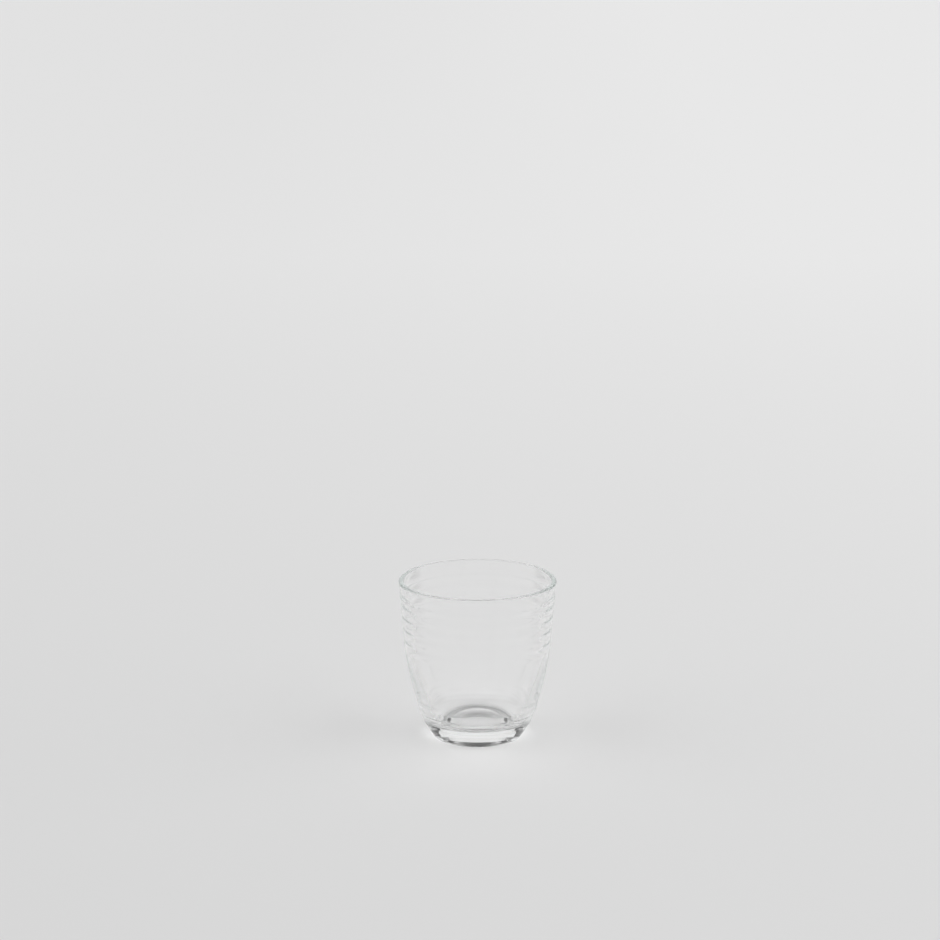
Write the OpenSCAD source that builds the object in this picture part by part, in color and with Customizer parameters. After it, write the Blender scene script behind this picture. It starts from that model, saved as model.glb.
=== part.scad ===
// Small clear juice tumbler, pressed from one gob of glass: polished rim, ringed upper wall,
// rounded heel, tapered foot, flat bearing ring and a domed hollow under the thick base.
// All sizes are in millimetres. The origin is on the table, on the tumbler's axis.

/* [Overall] */
// Outside diameter across the rim
rim_d = 76; // [72:0.5:82]
// Height from the table to the top of the rim
total_h = 78; // [74:0.5:84]

/* [Rim] */
// Wall thickness at the rim, which is rounded over to a half circle
rim_wall = 2.6; // [2.2:0.1:3.2]
// Height over which the wall flares out into the rim
lip_h = 8; // [5:0.5:10]
// How far the rim stands out beyond the wall below the flare
lip_flare = 0.8; // [0.4:0.1:1.2]

/* [Ring band] */
// Height of the band's lower end, where the straight upper wall begins
band_z = 43; // [38:0.5:46]
// Outside diameter of the wall at the band's lower end
band_d = 70.4; // [67:0.2:72]
// Wall thickness at the band's lower end
band_wall = 3.4; // [2.8:0.1:4]
// Number of rings on the band
band_rings = 5; // [2:1:5]
// Height of the lowest ring's crest on the band
band_ring_z = 46; // [45:0.5:47]
// Distance from one ring to the next
ring_pitch = 6; // [4:0.25:6]
// Width of one ring, foot to foot
ring_w = 4; // [2:0.25:4]
// How far a ring stands out of the wall
ring_proud = 0.15; // [0.1:0.05:0.4]

/* [Heel] */
// Outside diameter of the edge where the heel meets the foot
heel_d = 52.4; // [49:0.2:55]
// Height of that edge
heel_z = 7.6; // [6:0.2:9]
// Lean of the heel's wall just above the edge, degrees from upright
heel_lean = 20; // [12:1:26]
// How far the heel's wall keeps that lean before it turns up
heel_reach = 12; // [8:0.5:14]
// Lean of the wall where it runs into the band, degrees from upright
band_lean = 8; // [4:1:12]
// How far below the band the wall already has that lean
band_reach = 14; // [8:0.5:18]
// Height of the crest of the ring round the heel
heel_ring_z = 14; // [12:0.5:16]
// Radius on the edge between heel and foot
heel_round = 0.6; // [0.3:0.1:1]

/* [Foot] */
// Outside diameter of the foot at the table, before its edge is rounded
foot_d = 42.6; // [41:0.2:45]
// Radius on the foot's lower edge
foot_round = 1.5; // [1:0.1:2]
// Diameter of the hollow under the base at the table, before its edge is rounded
punt_d = 33; // [31:0.5:34]
// Depth of that hollow at the middle
punt_h = 3.9; // [3.3:0.1:4.5]
// How much of that depth is the low dome on top of the hollow
punt_dome = 0.5; // [0.4:0.1:0.9]
// Lean of the hollow's flank, degrees from upright
punt_lean = 40; // [36:1:44]
// Radius between the hollow's flank and its dome
punt_round = 0.8; // [0.4:0.1:1.2]
// Radius between the hollow's flank and the bearing ring
punt_foot_round = 5.5; // [3:0.25:6]

/* [Inside] */
// Height of the cavity's floor above the table
floor_z = 8.4; // [7.4:0.1:9.4]
// Diameter of the floor, before its corner is rounded
floor_d = 44; // [42:0.5:45]
// Radius in the corner between floor and inner wall
floor_round = 6; // [4:0.25:7]
// Lean of the inner wall just above the floor, degrees from upright
bowl_lean = 13; // [9:1:17]
// How far the inner wall keeps that lean before it turns up
bowl_reach = 12; // [9:0.5:14]
// How far below the band the inner wall already leans as the band does
bowl_band_reach = 16; // [10:0.5:18]

/* [Hidden] */
$fn = 180;
// Straight steps in a wall curve, in one ring, in a rounded edge and in the hollow's dome
curve_steps = 24;
ring_steps = 10;
round_steps = 8;
dome_steps = 12;

rim_r = rim_d / 2;
band_r = band_d / 2;
heel_r = heel_d / 2;
foot_r = foot_d / 2;
punt_r = punt_d / 2;
floor_r = floor_d / 2;
lip_z = total_h - lip_h;
lip_r = rim_r - lip_flare;
rim_round = rim_wall / 2;
rim_edge_z = total_h - rim_round;
// Height at which the hollow's flank ends and its dome begins
flank_h = punt_h - punt_dome;

// Direction that leans outwards by a degrees from upright
function leaning(a) = [sin(a), cos(a)];

function unit(v) = v / norm(v);

// Point at share t along the cubic curve with ends a and d and handles b and c
function on_curve(a, b, c, d, t) =
    a * pow(1 - t, 3) + 3 * b * t * pow(1 - t, 2) + 3 * c * t * t * (1 - t) + d * pow(t, 3);

// Points of an arc about c from angle a0 to angle a1
function arc(c, r, a0, a1, steps) =
    [for (i = [0 : steps]) c + r * [cos(a0 + (a1 - a0) * i / steps), sin(a0 + (a1 - a0) * i / steps)]];

// Points of a dome from the axis out to its edge, with the middle standing rise above the edge
function dome(edge, rise) =
    let (ball = (edge[0] * edge[0] + rise * rise) / (2 * rise))
    arc([0, edge[1] + rise - ball], ball, 90, 90 - asin(edge[0] / ball), dome_steps);

// Points that round the corner b, between the points a and c, to radius r
function rounded(a, b, c, r) =
    let (
        u = unit(a - b),
        v = unit(c - b),
        half = acos(u * v) / 2,
        centre = b + unit(u + v) * r / sin(half),
        from = b + u * r / tan(half) - centre,
        to = b + v * r / tan(half) - centre,
        a0 = atan2(from[1], from[0]),
        turn = atan2(from[0] * to[1] - from[1] * to[0], from * to)
    )
    arc(centre, r, a0, a0 + turn, round_steps);

// Heights of all ring crests
ring_zs = concat([heel_ring_z], [for (i = [0 : band_rings - 1]) band_ring_z + i * ring_pitch]);

// How far the wall stands out at height z: a raised wave over each ring's width
function ring_out(z) =
    let (near = [for (c = ring_zs) if (abs(z - c) < ring_w / 2) abs(z - c)])
    len(near) == 0 ? 0 : ring_proud * (1 + cos(360 * min(near) / ring_w)) / 2;

function with_rings(points) = [for (p = points) [p[0] + ring_out(p[1]), p[1]]];

heel_edge = [heel_r, heel_z];
band_foot = [band_r, band_z];
foot_edge = [foot_r, 0];
punt_edge = [punt_r, 0];
punt_shoulder = punt_edge + flank_h * [-tan(punt_lean), 1];
bowl_corner = [floor_r, floor_z];
bowl_top = [band_r - band_wall, band_z];

// Outer wall from the heel's edge to the band
heel_curve = [for (i = [1 : curve_steps * 2]) on_curve(
    heel_edge,
    heel_edge + heel_reach * leaning(heel_lean),
    band_foot - band_reach * leaning(band_lean),
    band_foot,
    i / (curve_steps * 2)
)];

// Straight outer wall of the band, stepped finely enough to carry the rings
band_steps = ring_steps * ceil((lip_z - band_z) / ring_pitch);
band_line = [for (i = [1 : band_steps]) band_foot + ([lip_r, lip_z] - band_foot) * i / band_steps];

// Inner wall from the band down to the floor
bowl_curve = [for (i = [0 : curve_steps - 1]) on_curve(
    bowl_top,
    bowl_top - bowl_band_reach * leaning(band_lean),
    bowl_corner + bowl_reach * leaning(bowl_lean),
    bowl_corner,
    i / curve_steps
)];

// Dome of the hollow, its rounded shoulder, and the rounded corner of the cavity's floor
punt_top = dome(punt_shoulder, punt_dome);
punt_turn = rounded(punt_top[dome_steps - 1], punt_shoulder, punt_edge, punt_round);
floor_turn = rounded(bowl_corner + leaning(bowl_lean), bowl_corner, [0, floor_z], floor_round);

// Half section of the tumbler, from the middle of the hollow round the outside to the floor
section = concat(
    [for (p = punt_top) if (p[0] < punt_turn[0][0]) p],
    punt_turn,
    rounded(punt_shoulder, punt_edge, foot_edge, punt_foot_round),
    rounded([0, 0], foot_edge, heel_edge, foot_round),
    rounded(foot_edge, heel_edge, heel_curve[2], heel_round),
    with_rings([for (p = heel_curve) if (p[1] > heel_z + heel_round) p]),
    with_rings(band_line),
    arc([rim_r - rim_round, rim_edge_z], rim_round, 0, 180, round_steps * 2),
    [for (p = bowl_curve) if (p[1] > floor_turn[0][1]) p],
    floor_turn,
    [[0, floor_z]]
);

module tumbler() {
    color([0.86, 0.92, 0.9, 0.45]) rotate_extrude() polygon(section);
}

tumbler();
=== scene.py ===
import math

import bpy
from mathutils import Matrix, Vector


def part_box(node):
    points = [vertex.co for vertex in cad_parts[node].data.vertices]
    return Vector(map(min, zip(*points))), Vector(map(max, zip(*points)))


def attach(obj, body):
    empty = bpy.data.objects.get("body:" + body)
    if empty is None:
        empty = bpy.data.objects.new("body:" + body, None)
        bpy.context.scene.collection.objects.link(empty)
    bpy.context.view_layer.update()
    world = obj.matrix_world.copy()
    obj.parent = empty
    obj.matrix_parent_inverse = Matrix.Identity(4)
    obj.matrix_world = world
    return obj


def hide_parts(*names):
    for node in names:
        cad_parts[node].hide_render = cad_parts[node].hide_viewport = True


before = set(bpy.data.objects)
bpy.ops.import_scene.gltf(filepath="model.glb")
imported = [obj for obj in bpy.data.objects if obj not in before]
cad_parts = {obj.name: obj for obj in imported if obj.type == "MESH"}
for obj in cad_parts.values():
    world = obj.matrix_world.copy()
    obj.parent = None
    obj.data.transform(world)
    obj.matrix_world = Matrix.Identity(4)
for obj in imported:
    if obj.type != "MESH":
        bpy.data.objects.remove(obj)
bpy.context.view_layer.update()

tumblerLow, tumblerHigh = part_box("tumbler")
mm = 0.001
axisGap = 1e-6  # mm; nearer to the axis than this, a section point is on it

scene = bpy.context.scene
scene.view_settings.view_transform = "Standard"
scene.cycles.max_bounces = 256  # light turns round many times inside clear glass
scene.cycles.transmission_bounces = 256
scene.cycles.glossy_bounces = 256
scene.cycles.diffuse_bounces = 12
scene.cycles.blur_glossy = 0
scene.cycles.sample_clamp_indirect = 0


# points of a section, in mm from the axis and from the table

def leaning(degrees):
    a = math.radians(degrees)
    return Vector((math.sin(a), math.cos(a)))


def linePoints(start, end, step):
    count = max(1, round((end - start).length / step))
    return [start + (end - start) * i / count for i in range(1, count)]


# curve from a to d with the handles b and c
def curvePoints(a, b, c, d, steps):
    points = []
    for i in range(steps + 1):
        t = i / steps
        s = 1 - t
        points.append(a * s ** 3 + 3 * b * t * s ** 2 + 3 * c * t * t * s + d * t ** 3)
    return points


def arcPoints(centre, radius, startDeg, endDeg, steps):
    points = []
    for i in range(steps + 1):
        a = math.radians(startDeg + (endDeg - startDeg) * i / steps)
        points.append(centre + radius * Vector((math.cos(a), math.sin(a))))
    return points


# arc from the axis out to edge, standing rise above it at the middle
def capPoints(edge, rise, steps):
    ball = (edge.x ** 2 + rise ** 2) / (2 * rise)
    half = math.degrees(math.asin(edge.x / ball))
    centre = Vector((0, edge.y + rise - ball))
    return arcPoints(centre, ball, 90, 90 - half, steps)


def roundedCorner(before, corner, after, radius, steps):
    u = (before - corner).normalized()
    v = (after - corner).normalized()
    half = u.angle(v) / 2
    centre = corner + (u + v).normalized() * radius / math.sin(half)
    first = corner + u * radius / math.tan(half) - centre
    last = corner + v * radius / math.tan(half) - centre
    start = math.degrees(math.atan2(first.y, first.x))
    turn = math.degrees(math.atan2(first.x * last.y - first.y * last.x, first.dot(last)))
    return arcPoints(centre, radius, start, start + turn, steps)


# turns a section round the upright axis
def latheMesh(name, section, turns):
    verts, faces, rings = [], [], []
    for p in section:
        first = len(verts)
        if p.x < axisGap:
            verts.append((0, 0, p.y * mm))
            rings.append([first] * turns)
            continue
        for k in range(turns):
            a = 2 * math.pi * k / turns
            verts.append((p.x * mm * math.cos(a), p.x * mm * math.sin(a), p.y * mm))
        rings.append(list(range(first, first + turns)))
    for low, high in zip(rings, rings[1:]):
        for k in range(turns):
            n = (k + 1) % turns
            corners = [low[k], low[n], high[n], high[k]]
            faces.append(list(dict.fromkeys(corners)))
    mesh = bpy.data.meshes.new(name)
    mesh.from_pydata(verts, [], faces)
    mesh.validate()
    mesh.shade_smooth()
    return mesh


# nodes that several finishes share

def objectPlace(tree):
    return tree.nodes.new("ShaderNodeTexCoord").outputs["Object"]


def splitAxes(tree, place):
    axes = tree.nodes.new("ShaderNodeSeparateXYZ")
    tree.links.new(place, axes.inputs[0])
    return axes.outputs


def joinValues(tree, kind, one, two):
    node = tree.nodes.new("ShaderNodeMath")
    node.operation = kind
    tree.links.new(one, node.inputs[0])
    tree.links.new(two, node.inputs[1])
    return node.outputs[0]


# low to high while value runs from start to end
def fadeBetween(tree, value, start, end, low, high, smooth=False):
    node = tree.nodes.new("ShaderNodeMapRange")
    if smooth:
        node.interpolation_type = "SMOOTHSTEP"
    node.inputs["From Min"].default_value = start
    node.inputs["From Max"].default_value = end
    node.inputs["To Min"].default_value = low
    node.inputs["To Max"].default_value = high
    tree.links.new(value, node.inputs["Value"])
    return node.outputs["Result"]


def noisePattern(tree, place, scale, detail):
    noise = tree.nodes.new("ShaderNodeTexNoise")
    noise.inputs["Scale"].default_value = scale
    noise.inputs["Detail"].default_value = detail
    tree.links.new(place, noise.inputs["Vector"])
    return noise.outputs["Fac"]


def newFinish(name):
    mat = bpy.data.materials.new(name)
    mat.use_nodes = True
    return mat, mat.node_tree, mat.node_tree.nodes["Principled BSDF"]


# the tumbler's half section: sizes in mm, leans in degrees from upright, then how finely it is cut
tumblerCut = {
    "rimWall": 2.6, "lipHeight": 8.0, "lipFlare": 0.8,
    "bandZ": 43.0, "bandDia": 70.4, "bandWall": 3.4,
    "bandRings": 5, "bandRingZ": 46.0, "ringPitch": 6.0, "ringWidth": 6.0, "ringProud": 0.3,
    "heelDia": 52.4, "heelZ": 7.6, "heelLean": 20, "heelReach": 12.0,
    "bandLean": 8, "bandReach": 14.0, "heelRingZ": 14.0, "heelRound": 0.6,
    "footDia": 42.6, "footRound": 1.5,
    "puntDia": 33.0, "puntDepth": 3.9, "puntDome": 0.5,
    "puntLean": 40, "puntRound": 0.8, "puntFootRound": 5.5,
    "floorZ": 8.4, "floorDia": 44.0, "floorRound": 6.0,
    "bowlLean": 13, "bowlReach": 12.0, "bowlBandReach": 16.0,
    "step": 0.7, "leastGap": 0.1,
    "heelCurveSteps": 120, "bowlCurveSteps": 90, "domeSteps": 40, "puntSteps": 10, "puntFootSteps": 12,
    "footSteps": 10, "heelSteps": 8, "rimSteps": 24, "floorSteps": 24, "turns": 192,
}


# how far a ring stands out at height z
def ringOut(cut, z):
    crests = [cut["heelRingZ"]]
    crests += [cut["bandRingZ"] + i * cut["ringPitch"] for i in range(cut["bandRings"])]
    away = min(abs(z - crest) for crest in crests)
    if away > cut["ringWidth"] / 2:
        return 0.0
    return cut["ringProud"] * (1 + math.cos(2 * math.pi * away / cut["ringWidth"])) / 2


# from the middle of the hollow round the outside and over the rim to the middle of the floor
def tumblerSection(cut):
    rimR = (tumblerHigh[0] - tumblerLow[0]) / 2 / mm
    height = (tumblerHigh[2] - tumblerLow[2]) / mm
    step, leastGap = cut["step"], cut["leastGap"]
    rimRound = cut["rimWall"] / 2
    rimCentre = Vector((rimR - rimRound, height - rimRound))
    lipEdge = Vector((rimR - cut["lipFlare"], height - cut["lipHeight"]))
    bandFoot = Vector((cut["bandDia"] / 2, cut["bandZ"]))
    bowlTop = Vector((bandFoot.x - cut["bandWall"], cut["bandZ"]))
    bowlCorner = Vector((cut["floorDia"] / 2, cut["floorZ"]))
    floorMid = Vector((0, cut["floorZ"]))
    heelEdge = Vector((cut["heelDia"] / 2, cut["heelZ"]))
    footMid = Vector((0, 0))
    footEdge = Vector((cut["footDia"] / 2, 0))
    puntEdge = Vector((cut["puntDia"] / 2, 0))
    shoulderZ = cut["puntDepth"] - cut["puntDome"]
    shoulderR = puntEdge.x - shoulderZ * math.tan(math.radians(cut["puntLean"]))
    puntShoulder = Vector((shoulderR, shoulderZ))

    heelHandle = heelEdge + cut["heelReach"] * leaning(cut["heelLean"])
    bandHandle = bandFoot - cut["bandReach"] * leaning(cut["bandLean"])
    heelCurve = curvePoints(heelEdge, heelHandle, bandHandle, bandFoot, cut["heelCurveSteps"])
    bowlHandle = bowlTop - cut["bowlBandReach"] * leaning(cut["bandLean"])
    cornerHandle = bowlCorner + cut["bowlReach"] * leaning(cut["bowlLean"])
    bowlCurve = curvePoints(bowlTop, bowlHandle, cornerHandle, bowlCorner, cut["bowlCurveSteps"])

    dome = capPoints(puntShoulder, cut["puntDome"], cut["domeSteps"])
    shoulder = roundedCorner(dome[-3], puntShoulder, puntEdge, cut["puntRound"], cut["puntSteps"])
    bead = roundedCorner(puntShoulder, puntEdge, footEdge, cut["puntFootRound"], cut["puntFootSteps"])
    foot = roundedCorner(footMid, footEdge, heelEdge, cut["footRound"], cut["footSteps"])
    heel = roundedCorner(footEdge, heelEdge, heelCurve[4], cut["heelRound"], cut["heelSteps"])
    outer = [p for p in heelCurve if p.y > heel[-1].y + leastGap]
    outer += linePoints(bandFoot, lipEdge, step / 2) + [lipEdge]
    ringed = [Vector((p.x + ringOut(cut, p.y), p.y)) for p in outer]
    rim = arcPoints(rimCentre, rimRound, 0, 180, cut["rimSteps"])
    bowlWall = bowlCorner + leaning(cut["bowlLean"])
    floor = roundedCorner(bowlWall, bowlCorner, floorMid, cut["floorRound"], cut["floorSteps"])

    section = [p for p in dome if p.x < shoulder[0].x - leastGap] + shoulder
    section += linePoints(shoulder[-1], bead[0], step) + bead
    section += linePoints(bead[-1], foot[0], step) + foot
    section += linePoints(foot[-1], heel[0], step) + heel
    section += ringed
    section += linePoints(lipEdge, rim[0], step) + rim
    section += linePoints(rim[-1], bowlTop, step)
    section += [p for p in bowlCurve if p.y > floor[0].y + leastGap] + floor
    section += linePoints(floor[-1], floorMid, 2 * step) + [floorMid]
    return section


# clear glass with a faint green in its thickness
glassLook = {
    "ior": 1.52, "absorbColor": (0.62, 0.86, 0.78, 1), "absorbDensity": 0.5,
    "hazeScale": 35, "hazeDetail": 2, "hazeFrom": 0.4, "hazeTo": 0.75, "polish": 0.0, "haze": 0.012,
    "worn": 0.22, "wornFrom": 0.0009, "wornTo": 0.0002,  # heights in m
    "waveScale": 40, "waveDetail": 1, "waveHeight": 0.00003,
}


def makeGlass(look):
    mat, tree, shader = newFinish("clearGlass")
    place = objectPlace(tree)
    shader.inputs["Base Color"].default_value = (1, 1, 1, 1)
    shader.inputs["IOR"].default_value = look["ior"]
    shader.inputs["Transmission Weight"].default_value = 1.0
    cloud = noisePattern(tree, place, look["hazeScale"], look["hazeDetail"])
    haze = fadeBetween(tree, cloud, look["hazeFrom"], look["hazeTo"], look["polish"], look["haze"])
    height = splitAxes(tree, place)["Z"]
    rub = fadeBetween(tree, height, look["wornFrom"], look["wornTo"], 0, look["worn"])  # the bearing ring
    tree.links.new(joinValues(tree, "MAXIMUM", haze, rub), shader.inputs["Roughness"])
    ripple = tree.nodes.new("ShaderNodeBump")
    ripple.inputs["Distance"].default_value = look["waveHeight"]
    wave = noisePattern(tree, place, look["waveScale"], look["waveDetail"])
    tree.links.new(wave, ripple.inputs["Height"])
    tree.links.new(ripple.outputs["Normal"], shader.inputs["Normal"])
    tint = tree.nodes.new("ShaderNodeVolumeAbsorption")
    tint.inputs["Color"].default_value = look["absorbColor"]
    tint.inputs["Density"].default_value = look["absorbDensity"]
    tree.links.new(tint.outputs[0], tree.nodes["Material Output"].inputs["Volume"])
    return mat


section = tumblerSection(tumblerCut)
tumbler = bpy.data.objects.new("tumblerGlass", latheMesh("tumblerGlass", section, tumblerCut["turns"]))
scene.collection.objects.link(tumbler)
tumbler.data.materials.append(makeGlass(glassLook))
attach(tumbler, "root")
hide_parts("tumbler")
print("tumbler turned,", len(section), "points round its section")


# wide pale floor in m; its colour is painted light, lifting towards the back, with painted shade dropping it
# towards the front and the left
floorLook = {
    "rings": (0, 0.2, 1.0, 7.0), "turns": 96, "drop": 0.00005,
    "near": 0.765, "far": 0.868, "nearY": -0.32, "farY": 1.4,
    "leftPaintedShade": 0.06, "sideReach": 0.3, "roughness": 0.95,
}


def makeFloor(look):
    points = [Vector((r, -look["drop"])) / mm for r in look["rings"]]
    mesh = latheMesh("paleFloor", points, look["turns"])
    mat, tree, shader = newFinish("palePaper")
    axes = splitAxes(tree, objectPlace(tree))
    # painted light: the floor's colour runs from darker at the front to lighter at the back
    paintedFalloff = fadeBetween(tree, axes["Y"], look["nearY"], look["farY"], look["near"], look["far"])
    reach = look["sideReach"]
    # painted shade: the floor's colour darkens towards the left
    side = fadeBetween(tree, axes["X"], -reach, reach, 1 - look["leftPaintedShade"], 1.0)
    tree.links.new(joinValues(tree, "MULTIPLY", paintedFalloff, side), shader.inputs["Base Color"])
    shader.inputs["Roughness"].default_value = look["roughness"]
    shader.inputs["Specular IOR Level"].default_value = 0.0
    mesh.materials.append(mat)
    floor = bpy.data.objects.new("paleFloor", mesh)
    scene.collection.objects.link(floor)


makeFloor(floorLook)
print("floor laid")


# dark boards behind the glass on both sides give it grey edges; their front ends fade to pale
boardLook = {
    "near": 0.165, "nearY": 0.05, "far": 0.22, "farY": 0.3, "low": 0.03, "high": 0.35,
    "dark": 0.02, "pale": 0.8, "paleY": 0.04, "darkY": 0.1, "roughness": 0.9,
}


def makeBoard(look, name, side):
    near = (side * look["near"], look["nearY"])
    far = (side * look["far"], look["farY"])
    corners = [(*end, z) for z in (look["low"], look["high"]) for end in (near, far)]
    mesh = bpy.data.meshes.new(name)
    mesh.from_pydata(corners, [], [(0, 1, 3, 2)])
    mat, tree, shader = newFinish(name + "Paint")
    axes = splitAxes(tree, objectPlace(tree))
    tone = fadeBetween(tree, axes["Y"], look["paleY"], look["darkY"], look["pale"], look["dark"], smooth=True)
    tree.links.new(tone, shader.inputs["Base Color"])
    shader.inputs["Roughness"].default_value = look["roughness"]
    shader.inputs["Specular IOR Level"].default_value = 0.0
    clear = tree.nodes.new("ShaderNodeBsdfTransparent")  # light on its way to the floor passes through
    ray = tree.nodes.new("ShaderNodeLightPath").outputs
    mix = tree.nodes.new("ShaderNodeMixShader")
    tree.links.new(ray["Diffuse Depth"], mix.inputs[0])
    tree.links.new(shader.outputs[0], mix.inputs[1])
    tree.links.new(clear.outputs[0], mix.inputs[2])
    tree.links.new(mix.outputs[0], tree.nodes["Material Output"].inputs["Surface"])
    mesh.materials.append(mat)
    board = bpy.data.objects.new(name, mesh)
    scene.collection.objects.link(board)
    board.visible_camera = False  # seen only in the glass
    board.visible_diffuse = False
    board.visible_shadow = False


makeBoard(boardLook, "leftBoard", -1)
makeBoard(boardLook, "rightBoard", 1)
print("side boards set")


# soft studio sky: lightPlan is what falls on the floor, roomPlan is what glass and camera see of the room
# patches: bearing and lift of the middle, core and edge as angles off it, all in degrees
lightPlan = {
    "base": 0.56,
    "patches": {
        "right": {"bearing": -8, "lift": 30, "core": 10, "edge": 50, "level": 1.8},
        "left": {"bearing": 188, "lift": 30, "core": 10, "edge": 50, "level": 1.6},
        "ceiling": {"bearing": 90, "lift": 90, "core": 25, "edge": 55, "level": -0.45},
    },
}
roomPlan = {
    "base": 0.72,
    "patches": {
        "back": {"bearing": 90, "lift": 20, "core": 25, "edge": 60, "level": 0.1},
        "ceiling": {"bearing": 90, "lift": 90, "core": 30, "edge": 46, "level": -0.6},
        "backTop": {"bearing": 90, "lift": 53, "core": 8, "edge": 22, "level": -0.45},
        "cornerRight": {"bearing": 330, "lift": 44, "core": 8, "edge": 22, "level": -0.5},
        "cornerLeft": {"bearing": 210, "lift": 50, "core": 8, "edge": 20, "level": -0.5},
    },
}


def towards(patch):
    bearing = math.radians(patch["bearing"])
    lift = math.radians(patch["lift"])
    flat = math.cos(lift)
    return flat * math.cos(bearing), flat * math.sin(bearing), math.sin(lift)


def skyGlow(tree, way, plan):
    glow = tree.nodes.new("ShaderNodeValue").outputs[0]
    glow.default_value = plan["base"]
    for patch in plan["patches"].values():
        facing = tree.nodes.new("ShaderNodeVectorMath")
        facing.operation = "DOT_PRODUCT"
        tree.links.new(way, facing.inputs[0])
        facing.inputs[1].default_value = towards(patch)
        edge = math.cos(math.radians(patch["edge"]))
        core = math.cos(math.radians(patch["core"]))
        spot = fadeBetween(tree, facing.outputs["Value"], edge, core, 0, patch["level"], smooth=True)
        glow = joinValues(tree, "ADD", glow, spot)
    return glow


def makeSky(light, room):
    world = bpy.data.worlds.new("studio")
    scene.world = world
    world.use_nodes = True
    tree = world.node_tree
    way = tree.nodes.new("ShaderNodeTexCoord").outputs["Generated"]
    ray = tree.nodes.new("ShaderNodeLightPath").outputs
    seen = joinValues(tree, "MAXIMUM", ray["Is Camera Ray"], ray["Is Glossy Ray"])
    seen = joinValues(tree, "MAXIMUM", seen, ray["Is Transmission Ray"])
    seen = joinValues(tree, "SUBTRACT", seen, ray["Diffuse Depth"])  # light for the floor keeps lightPlan
    pick = tree.nodes.new("ShaderNodeMix")
    pick.clamp_factor = True
    tree.links.new(seen, pick.inputs[0])
    tree.links.new(skyGlow(tree, way, light), pick.inputs[2])
    tree.links.new(skyGlow(tree, way, room), pick.inputs[3])
    unlit = tree.nodes.new("ShaderNodeMath")  # no patch takes the sky below black
    unlit.operation = "MAXIMUM"
    unlit.inputs[1].default_value = 0
    tree.links.new(pick.outputs[0], unlit.inputs[0])
    tree.links.new(unlit.outputs[0], tree.nodes["Background"].inputs["Strength"])
    tree.nodes["Background"].inputs["Color"].default_value = (1, 1, 1, 1)


makeSky(lightPlan, roomPlan)
print("sky set")

# the photograph's view: distance and height in m, angles in degrees
viewPlan = {"back": 1.435, "up": 0.4746, "pitch": 13.435, "yaw": 0.1445, "lens": 118.455}
camData = bpy.data.cameras.new("photoView")
camData.lens = viewPlan["lens"]
cam = bpy.data.objects.new("photoView", camData)
cam.location = (0, -viewPlan["back"], viewPlan["up"])
cam.rotation_euler = (math.radians(90 - viewPlan["pitch"]), 0, math.radians(viewPlan["yaw"]))
scene.collection.objects.link(cam)
scene.camera = cam
